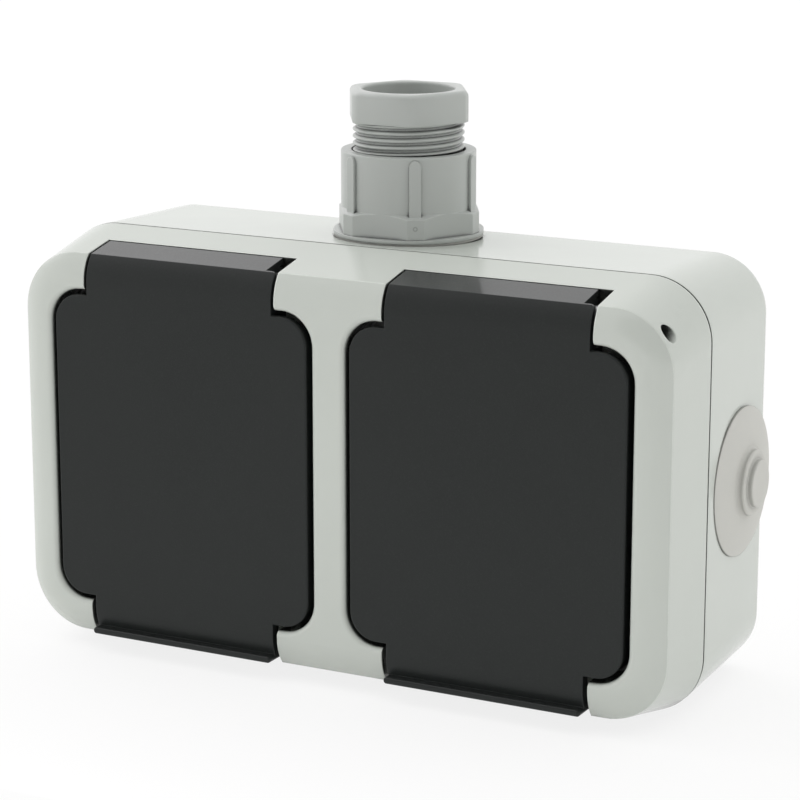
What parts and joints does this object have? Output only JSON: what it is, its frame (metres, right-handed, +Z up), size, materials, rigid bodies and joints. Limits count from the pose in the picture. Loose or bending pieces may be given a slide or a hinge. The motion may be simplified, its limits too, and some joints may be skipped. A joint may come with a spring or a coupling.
{
  "type": "double surface-mounted socket",
  "caption": "Splash-proof surface-mounted double wall socket: light grey box with sprung dark lids over earthed socket wells, cable gland on top and blanking grommet at the side.",
  "frame": {"origin": "middle of the back face, on the wall", "axes": "+X to the right seen from the room, +Y into the wall, +Z up"},
  "size_m": [0.1553, 0.0565, 0.1216],
  "materials": {
    "housing": "semi-gloss light grey",
    "lid": "fine grain, anthracite",
    "insert": "satin anthracite",
    "seal": "soft matte",
    "steel": "zinc plated",
    "contact": "bright strip",
    "gland": "satin cool grey",
    "grommet": "soft matte grey"
  },
  "bodies": {
    "housing": {"back_box": "housing", "front_frame": "housing", "socket_pot_left": "insert", "socket_pot_right": "insert", "contact_carrier_left": "insert", "contact_carrier_right": "insert", "frame_gasket": "seal", "gland_cable_seal": "seal", "frame_screws": "steel", "insert_screws": "steel", "centre_screws": "steel", "terminal_screws": "steel", "earth_screws": "steel", "hinge_pin_left": "steel", "hinge_pin_right": "steel", "lid_spring_left": "steel", "lid_spring_right": "steel", "earth_link": "contact", "line_link": "contact", "neutral_link": "contact", "earth_strap_left": "contact", "earth_strap_right": "contact", "line_contact_left": "contact", "line_contact_right": "contact", "neutral_contact_left": "contact", "neutral_contact_right": "contact", "gland_body": "gland", "gland_locknut": "gland", "side_grommet": "grommet", "gland_flange_seal": "grommet"},
    "lid_left": {"lid_left": "lid", "lid_gasket_left": "seal"},
    "lid_right": {"lid_right": "lid", "lid_gasket_right": "seal"},
    "gland_thrust": {"gland_washer": "gland"},
    "gland_screw": {"gland_screw": "gland"}
  },
  "joints": [
    {"name": "lid_left_hinge", "type": "hinge", "parent": "housing", "child": "lid_left", "pos_m": [-0.0355, -0.0478, 0.0395], "axis": [-1, 0, 0], "range_deg": [0, 90], "stiffness_Nm_per_rad": 0.03, "springref_deg": -68.75, "deforming": ["lid_spring_left"]},
    {"name": "lid_right_hinge", "type": "hinge", "parent": "housing", "child": "lid_right", "pos_m": [0.0355, -0.0478, 0.0395], "axis": [-1, 0, 0], "range_deg": [0, 90], "stiffness_Nm_per_rad": 0.03, "springref_deg": -68.75, "deforming": ["lid_spring_right"]},
    {"name": "gland_slide", "type": "slide", "parent": "housing", "child": "gland_thrust", "axis": [0, 0, 1], "range_m": [-0.0045, 0], "deforming": ["gland_cable_seal"]},
    {"name": "gland_turn", "type": "hinge", "parent": "gland_thrust", "child": "gland_screw", "pos_m": [-0.00125, -0.0164, 0], "axis": [0, 0, 1], "range_deg": [-1080, 0]}
  ],
  "couplings": [
    {"joint": "gland_slide", "follows": "gland_turn", "m_per_rad": 0.00023873}
  ]
}
